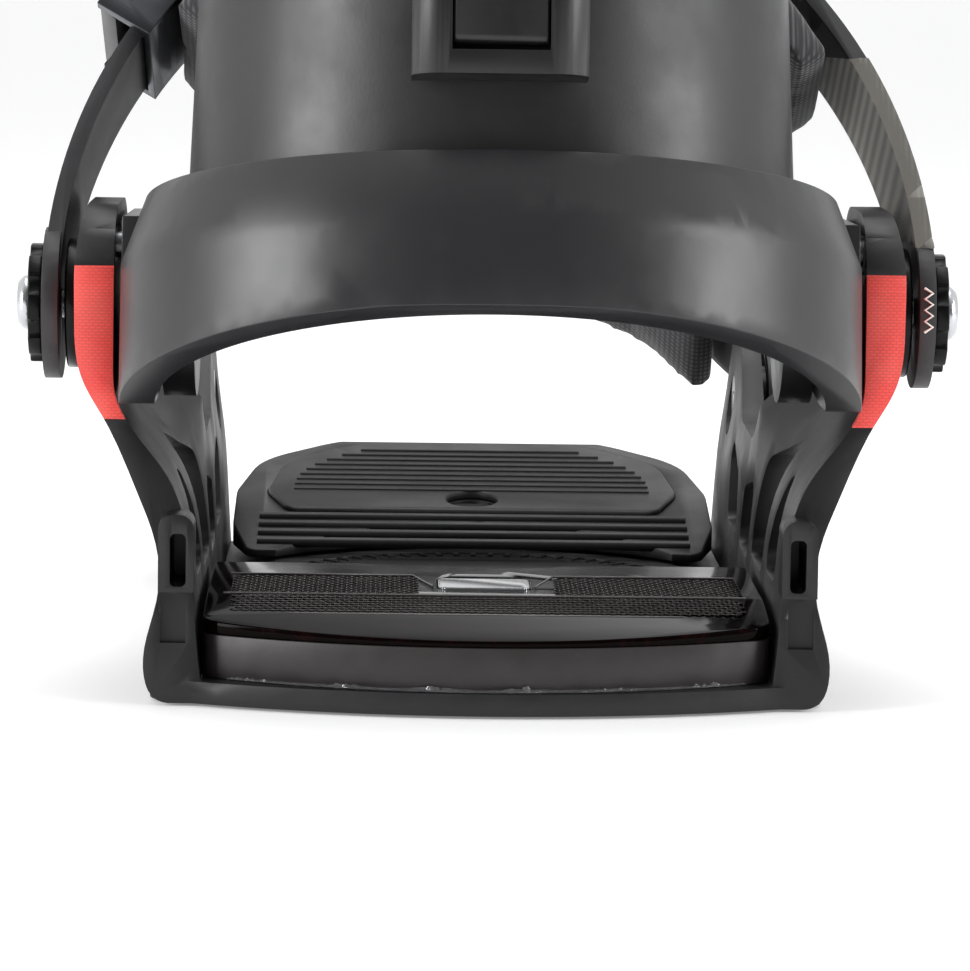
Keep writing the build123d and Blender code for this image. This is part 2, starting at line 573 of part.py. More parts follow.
def end_disc(radius, x_in, side):
    """Strap end with its bolt hole, in the strap's plane, on one side."""
    plate = x_rod(radius, x_in, x_in + STRAP_T, 0, 0) - x_rod(BOLT_R - 0.25 + PIN_GAP, x_in - 1, 90, 0, 0)
    return mirror(plate, about=Plane.YZ) if side < 0 else plate


def width_limit(profile):
    """Prism that limits a strap's width; profile is (x, half width) from left to right."""
    top = list(profile)
    bottom = [(x, -w) for x, w in reversed(profile)]
    face = Plane.XZ * make_face(Polyline(*top, *bottom, close=True))
    return extrude(face, amount=-300).moved(Location((0, -100, 0)))


def buckle(prefix, plane, line, at, scale):
    """Ratchet buckle around a ladder strap: base with cheeks, lever, pawl, spring and pins.

    line is the stretch of the ladder's line that the base follows, and at holds two points of it
    that give the buckle's middle and its direction. Returns its two hinge points in the row frame.
    """
    half_w = BUCKLE_W / 2 * scale
    cheek = CHEEK_T * scale
    inner = half_w - cheek - 0.4
    seat = -STRAP_T / 2 - MOVE_GAP - BUCKLE_FLOOR_T
    (x0, y0), (x1, y1) = at
    run = ((x1 - x0) ** 2 + (y1 - y0) ** 2) ** 0.5
    along = ((x1 - x0) / run, (y1 - y0) / run)
    out = (-along[1], along[0])
    spot = Plane(origin=(x0, y0, 0), x_dir=(along[0], along[1], 0), z_dir=(out[0], out[1], 0))

    def local(shape):
        return shape.moved(spot.location)

    def cross_rod(radius, s, n, half):
        return local(Location((s, 0, n), (90, 0, 0)) * Cylinder(radius, half * 2))

    base = ribbon(line, seat, seat + BUCKLE_FLOOR_T, half_w * 2)
    walls = ribbon(line, seat, seat + 12.0 * scale, half_w * 2)
    base += walls - ribbon(line, seat - 5, seat + 40, (half_w - cheek) * 2)
    hinge_at = {"lever": (-5.0 * scale, seat + 9.4 * scale), "pawl": (-17.0 * scale, seat + 7.0 * scale)}
    lever_s, lever_n = hinge_at["lever"]
    pawl_s, pawl_n = hinge_at["pawl"]
    pin_r = 1.4 * scale
    deck = seat + 13.8 * scale
    plate = Box(32 * scale, half_w * 2 + 1.0, 2.4 * scale)
    plate = fillet(plate.edges().filter_by(Axis.Z), radius=5 * scale)
    plate = plate.moved(Location((lever_s + 18.5 * scale, 0, deck)))
    hub_low = lever_n - 2.1 * scale
    hub_high = deck + 1.2 * scale
    hub = Box(7 * scale, inner * 2, hub_high - hub_low)
    hub = hub.moved(Location((lever_s + 1.4 * scale, 0, (hub_high + hub_low) / 2)))
    lever = local(plate + hub) - cross_rod(pin_r + PIN_GAP, lever_s, lever_n, half_w + 4)
    pawl = Box(10 * scale, inner * 2, 4.2 * scale).moved(Location((pawl_s, 0, pawl_n)))
    pawl = local(pawl) - cross_rod(pin_r + PIN_GAP, pawl_s, pawl_n, half_w)
    pawl -= cross_rod(pin_r + 1.5, pawl_s, pawl_n, 3.4)
    spring = cross_rod(pin_r + 1.0, pawl_s, pawl_n, 3.0) - cross_rod(pin_r + 0.15, pawl_s, pawl_n, 4.0)
    for label, (s, n) in hinge_at.items():
        base -= cross_rod(pin_r, s, n, half_w + 2)
        keep(prefix + "_" + label + "_pin", cross_rod(pin_r - 0.02, s, n, half_w + 0.5).moved(plane.location))
    keep(prefix + "_buckle_base", base.moved(plane.location))
    keep(prefix + "_lever", lever.moved(plane.location))
    keep(prefix + "_pawl", pawl.moved(plane.location))
    keep(prefix + "_pawl_spring", spring.moved(plane.location))
    for label, (s, n) in hinge_at.items():
        spot_2d = Vector(x0 + along[0] * s + out[0] * n, y0 + along[1] * s + out[1] * n, 0)
        HINGES[prefix + "_" + label] = plane.from_local_coords(spot_2d)


def ankle_strap():
    """Ladder strap on the left, connector and padded body from the right, ratchet buckle between them."""
    plane = strap_plane(ANKLE_Y, ANKLE_Z, ANKLE_LIFT)
    bore = both_sides(x_rod(BOLT_R - 0.25 + PIN_GAP, 70, 90, 0, 0))
    ladder_line = ellipse_arc(ANKLE_A, ANKLE_B, 180, 96, 13)
    ladder = ribbon(ladder_line, -STRAP_T / 2, STRAP_T / 2, LADDER_W) + end_disc(ANKLE_END_R, STRAP_END_IN, -1)
    link_line = ellipse_arc(ANKLE_A, ANKLE_B, 0, 50, 9)
    link = ribbon(link_line, -STRAP_T / 2, STRAP_T / 2, 24) + end_disc(ANKLE_END_R, STRAP_END_IN, 1)
    pad_line = ellipse_arc(ANKLE_A - 9.4, ANKLE_B - 9.4, 142, 32, 17)
    pad = ribbon(pad_line, -ANKLE_PAD_T / 2, ANKLE_PAD_T / 2, ANKLE_PAD_HALF_W * 2)
    pad = pad & width_limit([(-66, 13), (-30, ANKLE_PAD_HALF_W), (30, ANKLE_PAD_HALF_W), (66, 13)])
    keep("ankle_ladder", (ladder - bore).moved(plane.location))
    keep("ankle_connector", (link - bore).moved(plane.location))
    keep("ankle_pad", pad.moved(plane.location))
    base_line = ellipse_arc(ANKLE_A, ANKLE_B, 146, 116, 7)
    buckle("ankle", plane, base_line, ellipse_arc(ANKLE_A, ANKLE_B, 132, 130, 2), 1.0)


def toe_strap():
    """Smaller strap that droops over the toes, with the same hardware."""
    plane = strap_plane(TOE_Y, TOE_Z, TOE_LIFT)
    mid = TOE_END_IN + STRAP_T / 2
    bore = both_sides(x_rod(BOLT_R - 0.25 + PIN_GAP, 50, 80, 0, 0))
    ladder_line = ellipse_arc(mid, TOE_B, 180, 94, 13)
    ladder = ribbon(ladder_line, -STRAP_T / 2, STRAP_T / 2, 17) + end_disc(TOE_END_R, TOE_END_IN, -1)
    link_line = [(mid, 0), (mid - 0.1, 6), (mid - 0.6, 12), (62.0, 19), (57.4, 28.5), (49.5, 46), (37.0, 66.5)]
    link = ribbon(link_line, -STRAP_T / 2, STRAP_T / 2, 16) + end_disc(TOE_END_R, TOE_END_IN, 1)
    pad_line = ellipse_arc(mid - 8.4, TOE_B - 8.4, 126, 92, 6)
    pad_line += [(15.5, 75), (32.2, 62), (43.8, 43), (51, 25.5)]
    pad = ribbon(pad_line, -TOE_PAD_T / 2, TOE_PAD_T / 2, TOE_PAD_HALF_W * 2)
    pad = pad & width_limit([(-60, 9), (-24, TOE_PAD_HALF_W), (26, TOE_PAD_HALF_W), (60, 10)])
    keep("toe_ladder", (ladder - bore).moved(plane.location))
    keep("toe_connector", (link - bore).moved(plane.location))
    keep("toe_pad", pad.moved(plane.location))
    base_line = ellipse_arc(mid, TOE_B, 148, 119, 7)
    buckle("toe", plane, base_line, ellipse_arc(mid, TOE_B, 134, 132, 2), 0.85)


os.makedirs("parts", exist_ok=True)
baseplate_and_inserts()
heel_pad()
ankle_fasteners()
toe_fasteners()
mounting_disc()
toe_ramp()
heel_hoop()
highback()
lean_adjuster()
ankle_strap()
toe_strap()
for name, shape in NODES.items():
    export_step(shape, "parts/" + name + ".step")
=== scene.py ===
import bmesh
import bpy
import json
import math
import random
from mathutils import Matrix, Vector
from mathutils.bvhtree import BVHTree

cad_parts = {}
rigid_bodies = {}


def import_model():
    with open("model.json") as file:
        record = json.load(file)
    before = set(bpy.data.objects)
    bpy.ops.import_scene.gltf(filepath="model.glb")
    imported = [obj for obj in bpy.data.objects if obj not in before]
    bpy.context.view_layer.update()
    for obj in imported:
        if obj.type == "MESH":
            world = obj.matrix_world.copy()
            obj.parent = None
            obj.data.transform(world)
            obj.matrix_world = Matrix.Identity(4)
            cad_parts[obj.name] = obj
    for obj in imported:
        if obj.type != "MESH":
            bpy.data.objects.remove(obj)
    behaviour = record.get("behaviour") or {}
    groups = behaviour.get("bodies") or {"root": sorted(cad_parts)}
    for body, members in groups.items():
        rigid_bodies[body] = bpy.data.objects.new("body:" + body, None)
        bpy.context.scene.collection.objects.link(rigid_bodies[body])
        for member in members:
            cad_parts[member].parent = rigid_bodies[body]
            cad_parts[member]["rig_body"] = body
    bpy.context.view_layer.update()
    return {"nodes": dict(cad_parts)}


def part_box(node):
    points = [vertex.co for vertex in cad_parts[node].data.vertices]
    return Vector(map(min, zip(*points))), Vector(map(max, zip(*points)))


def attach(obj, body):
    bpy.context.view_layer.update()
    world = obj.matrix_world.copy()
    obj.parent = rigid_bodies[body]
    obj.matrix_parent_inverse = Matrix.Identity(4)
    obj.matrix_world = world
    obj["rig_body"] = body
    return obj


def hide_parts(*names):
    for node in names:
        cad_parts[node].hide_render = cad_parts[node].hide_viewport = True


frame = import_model()
nodes = frame["nodes"]
MM = 0.001

# ---------------------------------------------------------------- studio
# A long lens at board level behind the heel, slightly left of the centre line, looks a few degrees
# down along the binding towards its toe.
LENS_MM = 172.1
SENSOR_MM = 36.0
EYE = Vector((-0.0174, -0.941, 0.140))
YAW = math.radians(1.15)
PITCH = math.radians(6.88)
ROLL = math.radians(0.8)
lens = bpy.data.cameras.new("heel_view")
lens.lens = LENS_MM
lens.sensor_width = SENSOR_MM
lens.clip_start = 0.05
camera = bpy.data.objects.new("heel_view", lens)
bpy.context.scene.collection.objects.link(camera)
turn = Matrix.Rotation(-YAW, 4, "Z")
aim = turn @ Matrix.Rotation(math.pi / 2 - PITCH, 4, "X") @ Matrix.Rotation(ROLL, 4, "Z")
camera.matrix_world = Matrix.Translation(EYE) @ aim
bpy.context.scene.camera = camera
# The standard transform keeps the blacks deep and the coral bright.
bpy.context.scene.view_settings.view_transform = "Standard"


def linear(hex_colour):
    """sRGB hex string to a linear RGBA tuple."""
    values = [int(hex_colour[i:i + 2], 16) / 255 for i in (1, 3, 5)]
    return tuple(v / 12.92 if v <= 0.04045 else ((v + 0.055) / 1.055) ** 2.4 for v in values) + (1.0,)


def add(tree, kind, sockets=None, **settings):
    """One node: settings are its own properties, sockets its inputs as values or as links."""
    node = tree.nodes.new(kind)
    for key, value in settings.items():
        setattr(node, key, value)
    for key, value in (sockets or {}).items():
        if isinstance(value, bpy.types.NodeSocket):
            tree.links.new(value, node.inputs[key])
        else:
            node.inputs[key].default_value = value
    return node


def material(name, colour, roughness, **shader_sockets):
    """A named finish: returns the material, its tree and its shader."""
    made = bpy.data.materials.new(name)
    made.use_nodes = True
    made.diffuse_color = linear(colour)
    shader = made.node_tree.nodes["Principled BSDF"]
    shader.inputs["Base Color"].default_value = linear(colour)
    shader.inputs["Roughness"].default_value = roughness
    for key, value in shader_sockets.items():
        shader.inputs[key.replace("_", " ")].default_value = value
    return made, made.node_tree, shader


# White paper, evenly lit so that it falls away to white.
paper, _, paper_shader = material("white_studio_paper", "#f4f4f5", 0.7)
paper_shader.inputs["Emission Color"].default_value = (1, 1, 1, 1)
paper_shader.inputs["Emission Strength"].default_value = 0.2
FLOOR_HALF = 40.0
FLOOR_Z = -0.5 * MM
CORNERS = ((-1, -1), (1, -1), (1, 1), (-1, 1))
floor_mesh = bpy.data.meshes.new("floor")
floor_mesh.from_pydata([(x * FLOOR_HALF, y * FLOOR_HALF, FLOOR_Z) for x, y in CORNERS], [], [(0, 1, 2, 3)])
floor = bpy.data.objects.new("floor", floor_mesh)
bpy.context.scene.collection.objects.link(floor)
floor.data.materials.append(paper)

world = bpy.data.worlds.new("studio")
world.use_nodes = True
# The room on the heel's side of the table is dim, so the heel's own face stays dark.
room = world.node_tree.nodes["Background"]
towards = add(world.node_tree, "ShaderNodeTexCoord").outputs["Generated"]
towards_parts = add(world.node_tree, "ShaderNodeSeparateXYZ", {0: towards})
glow = add(world.node_tree, "ShaderNodeMapRange", {"Value": towards_parts.outputs[1], "From Min": -0.9,
                                                   "From Max": 0.1, "To Min": 0.22, "To Max": 1.0},
           interpolation_type="SMOOTHSTEP")
world.node_tree.links.new(glow.outputs[0], room.inputs["Strength"])
room.inputs["Color"].default_value = (1, 1, 1, 1)
bpy.context.scene.world = world


def softbox(name, place, aim_at, size, watts):
    """Square soft light that faces a point."""
    light = bpy.data.lights.new(name, "AREA")
    light.size = size
    light.energy = watts
    lamp = bpy.data.objects.new(name, light)
    lamp.location = place
    lamp.rotation_euler = (Vector(aim_at) - Vector(place)).to_track_quat("-Z", "Y").to_euler()
    bpy.context.scene.collection.objects.link(lamp)


CENTRE = (0.0, -0.05, 0.05)
softbox("left_softbox", (-0.95, -0.45, 0.35), CENTRE, 0.5, 8.0)
softbox("right_softbox", (1.0, -0.4, 0.4), CENTRE, 0.5, 7.0)
softbox("top_softbox", (0.0, 0.25, 1.3), CENTRE, 0.8, 5.0)


# ---------------------------------------------------------------- base
# The base is one moulding of glass-filled nylon, 4 mm thick in the floor, with two side walls. The tool
# is spark-eroded, so the skin is charcoal, fine-grained and half matte, and it polishes where it is touched.
GRAIN_MM = 0.45           # spark-eroded grain, coarser than the real 0.1 mm so that it shows
MERGE = 0.004 * MM        # corners closer than this are one
FLAT = math.radians(0.15)   # faces that meet flatter than this are one


def moulded(name, colour, worn_and_sheen, roughness, grain_mm=GRAIN_MM, depth_mm=0.02, spread=0.08, **shader_sockets):
    """Moulded polymer: fine eroded grain, cloudy gloss, and a paler tone in noise patches: wear where hands
    and straps rub it, and a painted sheen on the heel pad's film.
    """
    made, tree, shader = material(name, colour, roughness, **shader_sockets)
    place = add(tree, "ShaderNodeTexCoord").outputs["Object"]
    cloud = add(tree, "ShaderNodeTexNoise", {"Vector": place, "Scale": 1 / (18 * MM), "Detail": 4.0,
                                             "Roughness": 0.55})
    grain = add(tree, "ShaderNodeTexNoise", {"Vector": place, "Scale": 1 / (grain_mm * MM), "Detail": 2.0})
    scuff = add(tree, "ShaderNodeTexNoise", {"Vector": place, "Scale": 1 / (5 * MM), "Detail": 6.0,
                                             "Roughness": 0.7, "Distortion": 0.6})
    worn_and_sheen_spots = add(tree, "ShaderNodeMapRange", {"Value": scuff.outputs["Fac"], "From Min": 0.55,
                                                  "From Max": 0.8, "To Max": 0.55})
    tint = add(tree, "ShaderNodeMix", {0: worn_and_sheen_spots.outputs["Result"], 6: linear(colour), 7: linear(worn_and_sheen)},
               data_type="RGBA")
    tree.links.new(tint.outputs[2], shader.inputs["Base Color"])
    gloss = add(tree, "ShaderNodeMapRange", {"Value": cloud.outputs["Fac"], "From Min": 0.3, "From Max": 0.7,
                                             "To Min": roughness - spread, "To Max": roughness + spread})
    tree.links.new(gloss.outputs["Result"], shader.inputs["Roughness"])
    bump = add(tree, "ShaderNodeBump", {"Height": grain.outputs["Fac"], "Distance": depth_mm * MM,
                                        "Strength": 0.6})
    tree.links.new(bump.outputs["Normal"], shader.inputs["Normal"])
    return made


def rounded(node, radius_mm, finish, angle=32, segments=2):
    """Merged copy of a CAD node with its sharp edges rounded, which stands for the node."""
    piece = nodes[node].copy()
    piece.data = nodes[node].data.copy()
    piece.name = node + "_moulding"
    piece.data.name = piece.name
    for key in list(piece.keys()):
        del piece[key]
    piece.parent = None
    piece.matrix_world = Matrix.Identity(4)
    bpy.context.scene.collection.objects.link(piece)
    work = bmesh.new()
    work.from_mesh(piece.data)
    bmesh.ops.remove_doubles(work, verts=work.verts, dist=MERGE)
    bmesh.ops.dissolve_degenerate(work, edges=work.edges, dist=MERGE)
    bmesh.ops.dissolve_limit(work, angle_limit=FLAT, verts=work.verts, edges=work.edges)
    for face in work.faces:
        face.smooth = True
    work.to_mesh(piece.data)
    work.free()
    bevel = piece.modifiers.new("edges", "BEVEL")
    bevel.width = radius_mm * MM
    bevel.segments = segments
    bevel.limit_method = "ANGLE"
    bevel.angle_limit = math.radians(angle)
    bevel.harden_normals = True
    bevel.miter_outer = "MITER_ARC"
    settle(piece, finish, nodes[node]["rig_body"])
    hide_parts(node)
    return piece


def settle(piece, finish, body):
    """Turn a piece's modifiers into plain mesh, give it its finish and let it ride on its body."""
    bpy.context.view_layer.update()
    seen = piece.evaluated_get(bpy.context.evaluated_depsgraph_get())
    solid = bpy.data.meshes.new_from_object(seen)
    piece.modifiers.clear()
    piece.data = solid
    solid.materials.clear()
    solid.materials.append(finish)
    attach(piece, body)


def paint(finish, *names):
    """Give carried-over CAD nodes their finish."""
    for name in names:
        mesh = nodes[name].data
        mesh.materials.clear()
        mesh.materials.append(finish)


nylon = moulded("glass_filled_nylon_spark_eroded", "#161618", "#252528", 0.46)
base = rounded("baseplate", 0.7, nylon)

# ---------------------------------------------------------------- arm inserts
# A coral elastomer strip is pressed round the rear edge of each arm. Its face carries rows of short
# moulded dashes, and its skin is satin.
DASH_MM = 1.3
coral, coral_tree, coral_shader = material("thermoplastic_elastomer_satin", "#ff4a44", 0.42)
coral_place = add(coral_tree, "ShaderNodeTexCoord").outputs["Object"]
coral_turn = add(coral_tree, "ShaderNodeMapping", {"Vector": coral_place, "Rotation": (math.pi / 2, 0, 0)})
coral_brick = add(coral_tree, "ShaderNodeTexBrick",
                  {"Vector": coral_turn.outputs["Vector"], "Scale": 1 / (DASH_MM * MM), "Mortar Size": 0.12,
                   "Brick Width": 0.9, "Row Height": 0.42, "Color1": (1, 1, 1, 1),
                   "Color2": (0.6, 0.6, 0.6, 1), "Mortar": (0, 0, 0, 1)})
coral_cloud = add(coral_tree, "ShaderNodeTexNoise", {"Vector": coral_place, "Scale": 1 / (9 * MM)})
coral_tone = add(coral_tree, "ShaderNodeMix", {0: coral_cloud.outputs["Fac"], 6: linear("#ff3c38"),
                                               7: linear("#ff6a60")}, data_type="RGBA")
coral_worked = add(coral_tree, "ShaderNodeMix", {0: 0.22, 6: coral_tone.outputs[2],
                                                 7: coral_brick.outputs["Color"]},
                   data_type="RGBA", blend_type="MULTIPLY")
coral_tree.links.new(coral_worked.outputs[2], coral_shader.inputs["Base Color"])
coral_bump = add(coral_tree, "ShaderNodeBump", {"Height": coral_brick.outputs["Fac"], "Distance": 0.12 * MM,
                                                "Strength": 0.5}, invert=True)
coral_tree.links.new(coral_bump.outputs["Normal"], coral_shader.inputs["Normal"])
for side in ("left", "right"):
    insert = rounded("arm_insert_" + side, 0.4, coral)

# ---------------------------------------------------------------- heel pad
# A firm EVA wedge carries the heel. Its skin is smooth dark brown-grey, and its top wears a glossy
# thermoplastic film that is bevelled at the rear.
foam = moulded("eva_foam_skinned", "#2c2728", "#393334", 0.42, grain_mm=0.7, depth_mm=0.03)
pad_body = rounded("heel_pad_foam", 0.8, foam)
# The film's dark red patches, laid on by the same noise, are a painted sheen.
film = moulded("tpu_film_high_gloss", "#070202", "#330e09", 0.1, grain_mm=6.0, depth_mm=0.05, spread=0.03)
film.node_tree.nodes["Principled BSDF"].inputs["Specular IOR Level"].default_value = 0.05
cap = rounded("heel_pad_cap", 0.6, film)


def geometry_tree(name, sizes):
    """Empty Geometry Nodes tree with a geometry input and named size inputs."""
    tree = bpy.data.node_groups.new(name, "GeometryNodeTree")
    tree.interface.new_socket("Geometry", in_out="INPUT", socket_type="NodeSocketGeometry")
    for label, kind in sizes:
        tree.interface.new_socket(label, in_out="INPUT", socket_type="NodeSocket" + kind)
    tree.interface.new_socket("Geometry", in_out="OUTPUT", socket_type="NodeSocketGeometry")
    return tree, add(tree, "NodeGroupInput").outputs


def grow(name, tree, values, finish, body, guide=None):
    """Run a tree on a guide mesh with its inputs set, and keep the result as one plain mesh."""
    inputs = {**values, "Finish": finish}
    mesh = bpy.data.meshes.new(name)
    points, edges = guide or ([(0, 0, 0)], [])
    mesh.from_pydata(points, edges, [])
    piece = bpy.data.objects.new(name, mesh)
    bpy.context.scene.collection.objects.link(piece)
    modifier = piece.modifiers.new("nodes", "NODES")
    modifier.node_group = tree
    for item in tree.interface.items_tree:
        if item.in_out == "INPUT" and item.name in inputs:
            modifier[item.identifier] = inputs[item.name]
    settle(piece, finish, body)
    return piece


def close_tree(tree, geometry, finish_socket):
    """Realize the instances, set their material and hand the result out."""
    real = add(tree, "GeometryNodeRealizeInstances", {"Geometry": geometry})
    dressed = add(tree, "GeometryNodeSetMaterial", {"Geometry": real.outputs[0], "Material": finish_socket})
    out = add(tree, "NodeGroupOutput")
    tree.links.new(dressed.outputs[0], out.inputs[0])


# Honeycomb mesh lies under the film in two bands, either side of a raised line along the bevel's ridge.
CELL_MM = 1.7             # hexagon pitch
WIRE_MM = 0.13            # radius of a mesh thread
RIDGE_SETBACK_MM = 43     # from the cap's front edge back to the bevel's ridge
cap_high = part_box("heel_pad_cap")[1]
CAP_TOP = cap_high.z
RIDGE_Y = cap_high.y - RIDGE_SETBACK_MM * MM
BEVEL_SLOPE = 0.095       # rise over run of the cap's rear bevel
mesh_tree, mesh_in = geometry_tree("honeycomb_band", (
    ("Cell", "Float"), ("Wire", "Float"), ("Columns", "Int"), ("Rows", "Int"), ("Centre", "Vector"),
    ("Slope", "Float"), ("Finish", "Material")))
row_step = add(mesh_tree, "ShaderNodeMath", {0: mesh_in["Cell"], 1: math.sqrt(3) / 2}, operation="MULTIPLY")
width = add(mesh_tree, "ShaderNodeMath", {0: mesh_in["Cell"], 1: mesh_in["Columns"]}, operation="MULTIPLY")
depth = add(mesh_tree, "ShaderNodeMath", {0: row_step.outputs[0], 1: mesh_in["Rows"]}, operation="MULTIPLY")
cells = add(mesh_tree, "GeometryNodeMeshGrid", {"Size X": width.outputs[0], "Size Y": depth.outputs[0],
                                                "Vertices X": mesh_in["Columns"],
                                                "Vertices Y": mesh_in["Rows"]})
index = add(mesh_tree, "GeometryNodeInputIndex")
parity = add(mesh_tree, "ShaderNodeMath", {0: index.outputs[0], 1: mesh_in["Rows"]}, operation="MODULO")
odd = add(mesh_tree, "ShaderNodeMath", {0: parity.outputs[0], 1: 2.0}, operation="MODULO")
shift = add(mesh_tree, "ShaderNodeMath", {0: mesh_in["Cell"], 1: 0.5}, operation="MULTIPLY")
shift_odd = add(mesh_tree, "ShaderNodeMath", {0: odd.outputs[0], 1: shift.outputs[0]}, operation="MULTIPLY")
spot = add(mesh_tree, "GeometryNodeInputPosition")
spot_parts = add(mesh_tree, "ShaderNodeSeparateXYZ", {0: spot.outputs[0]})
climb = add(mesh_tree, "ShaderNodeMath", {0: spot_parts.outputs[1], 1: mesh_in["Slope"]},
            operation="MULTIPLY")
offset = add(mesh_tree, "ShaderNodeCombineXYZ", {0: shift_odd.outputs[0], 2: climb.outputs[0]})
laid = add(mesh_tree, "GeometryNodeSetPosition", {"Geometry": cells.outputs[0], "Offset": offset.outputs[0]})
placed = add(mesh_tree, "GeometryNodeTransform", {"Geometry": laid.outputs[0],
                                                  "Translation": mesh_in["Centre"]})
radius = add(mesh_tree, "ShaderNodeMath", {0: mesh_in["Cell"], 1: 1 / math.sqrt(3)}, operation="MULTIPLY")
ring = add(mesh_tree, "GeometryNodeCurvePrimitiveCircle", {"Resolution": 6, "Radius": radius.outputs[0]})
turned = add(mesh_tree, "GeometryNodeTransform", {"Geometry": ring.outputs[0],
                                                  "Rotation": (0, 0, math.radians(30))})
profile = add(mesh_tree, "GeometryNodeCurvePrimitiveCircle", {"Resolution": 3, "Radius": mesh_in["Wire"]})
wire = add(mesh_tree, "GeometryNodeCurveToMesh", {"Curve": turned.outputs[0],
                                                  "Profile Curve": profile.outputs[0]})
wires = add(mesh_tree, "GeometryNodeInstanceOnPoints", {"Points": placed.outputs[0],
                                                        "Instance": wire.outputs[0]})
close_tree(mesh_tree, wires.outputs[0], mesh_in["Finish"])
netting = moulded("polyester_mesh_under_film", "#2a2220", "#7a6f6c", 0.22, grain_mm=1.2)
for name, columns, rows, x_mm, y_mm, slope in (("rear_mesh", 54, 7, 0, -7.0, BEVEL_SLOPE),
                                               ("left_mesh", 19, 14, -30.2, 13.0, 0.0),
                                               ("right_mesh", 19, 14, 30.2, 13.0, 0.0)):
    drop = -7.0 * BEVEL_SLOPE * MM if slope else 0.0
    grow(name, mesh_tree, {"Cell": CELL_MM * MM, "Wire": WIRE_MM * MM, "Columns": columns, "Rows": rows,
                           "Slope": slope,
                           "Centre": (x_mm * MM, RIDGE_Y + y_mm * MM, CAP_TOP + drop + 0.05 * MM)},
         netting, "chassis")

# Highlight lines: pale narrow beads along the ridge and round the mesh stand for the light that catches those
# edges, so their pale colour is a painted highlight.
bead_tree, bead_in = geometry_tree("bead", [("Radius", "Float"), ("Sides", "Int"), ("Finish", "Material")])
bead_line = add(bead_tree, "GeometryNodeMeshToCurve", {"Mesh": bead_in["Geometry"]})
bead_profile = add(bead_tree, "GeometryNodeCurvePrimitiveCircle", {"Resolution": bead_in["Sides"],
                                                                   "Radius": bead_in["Radius"]})
bead_body = add(bead_tree, "GeometryNodeCurveToMesh", {"Curve": bead_line.outputs[0],
                                                       "Profile Curve": bead_profile.outputs[0],
                                                       "Fill Caps": True})
close_tree(bead_tree, bead_body.outputs[0], bead_in["Finish"])


def polyline(points):
    """Guide for a tree that follows a line: its points in metres and the edges between them."""
    return points, [(i, i + 1) for i in range(len(points) - 1)]


# The beads' pale grey is a painted highlight.
highlight_bead_finish = moulded("pale_bead_painted_highlight", "#8a8686", "#b9b6b6", 0.2, grain_mm=2.0)
HIGHLIGHT_LINE_Z = CAP_TOP + 0.08 * MM
HIGHLIGHT_LINE_R = 0.17 * MM
LOWER_HIGHLIGHT_LINE_R = 0.13 * MM
HIGHLIGHT_LINES = {
    "ridge_weld": [(-48.5, 0.4), (-20, 0.2), (20, 0.2), (48.5, 0.4)],
    "left_weld": [(-48.0, 26.5), (-13.4, 26.5), (-9.6, 12.0)],
    "right_weld": [(9.6, 12.0), (13.4, 26.5), (48.0, 26.5)],
}
for name, line in HIGHLIGHT_LINES.items():
    guide = polyline([(x * MM, RIDGE_Y + y * MM, HIGHLIGHT_LINE_Z) for x, y in line])
    grow(name, bead_tree, {"Radius": HIGHLIGHT_LINE_R, "Sides": 8}, highlight_bead_finish, "chassis", guide)
# The lower bead is a painted highlight along the bevel's lower edge.
LOWER_HIGHLIGHT_LINE_Y = RIDGE_Y - 14.5 * MM
LOWER_HIGHLIGHT_LINE_Z = CAP_TOP - 14.3 * BEVEL_SLOPE * MM
lower_highlight_line = polyline([(x * MM, LOWER_HIGHLIGHT_LINE_Y, LOWER_HIGHLIGHT_LINE_Z) for x in (-36, -12, 12, 36)])
grow("lower_highlight_line", bead_tree, {"Radius": LOWER_HIGHLIGHT_LINE_R, "Sides": 8}, highlight_bead_finish, "chassis", lower_highlight_line)

# A plain domed badge without any mark sits in its seat between the two front bands.
chrome = material("chromed_abs_badge", "#c9cacc", 0.18, Metallic=1.0)[0]
badge = rounded("heel_badge", 0.3, chrome, segments=3)

# Crinkled offcut of the clear shipping film is still caught under the pad's rear edge. It is thin
# polyethylene, so it glints on every fold.
clear_film, clear_tree, clear_shader = material("polyethylene_film_crinkled", "#dcdcde", 0.08)
clear_shader.inputs["Transmission Weight"].default_value = 0.92
clear_place = add(clear_tree, "ShaderNodeTexCoord").outputs["Object"]
clear_fold = add(clear_tree, "ShaderNodeTexVoronoi", {"Vector": clear_place, "Scale": 1 / (2.2 * MM)},
                 feature="F1")
clear_bump = add(clear_tree, "ShaderNodeBump", {"Height": clear_fold.outputs["Distance"],
                                                "Distance": 0.5 * MM, "Strength": 0.9})
clear_tree.links.new(clear_bump.outputs["Normal"], clear_shader.inputs["Normal"])
pad_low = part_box("heel_pad_foam")[0]
FILM_STEPS = 170
FILM_HALF = 47 * MM
PAD_BOW_MM = 15           # how far the middle of the pad's rear edge stands out past its corners
PAD_HALF_MM = 51.6        # half the pad's width, out to those corners
BOW = (PAD_BOW_MM * MM) / (PAD_HALF_MM * MM) ** 2
rng = random.Random(7)
film_points = []
for step in range(FILM_STEPS + 1):
    x = FILM_HALF * (2 * step / FILM_STEPS - 1)
    rear = pad_low.y + BOW * x * x
    lift = 0.15 + 0.85 * max(math.sin(step * 0.21), 0) * rng.random()
    film_points.append((x, rear - 1.3 * MM, pad_low.z + 0.15 * MM))
    film_points.append((x, rear - 0.8 * MM, pad_low.z + (0.3 + lift) * MM))
    film_points.append((x, rear - 0.15 * MM, pad_low.z + (0.4 + 0.8 * lift) * MM))
film_faces = []
for i in range(FILM_STEPS):
    for j in (0, 1):
        film_faces.append((3 * i + j, 3 * i + 3 + j, 3 * i + 4 + j, 3 * i + 1 + j))
film_mesh = bpy.data.meshes.new("shipping_film")
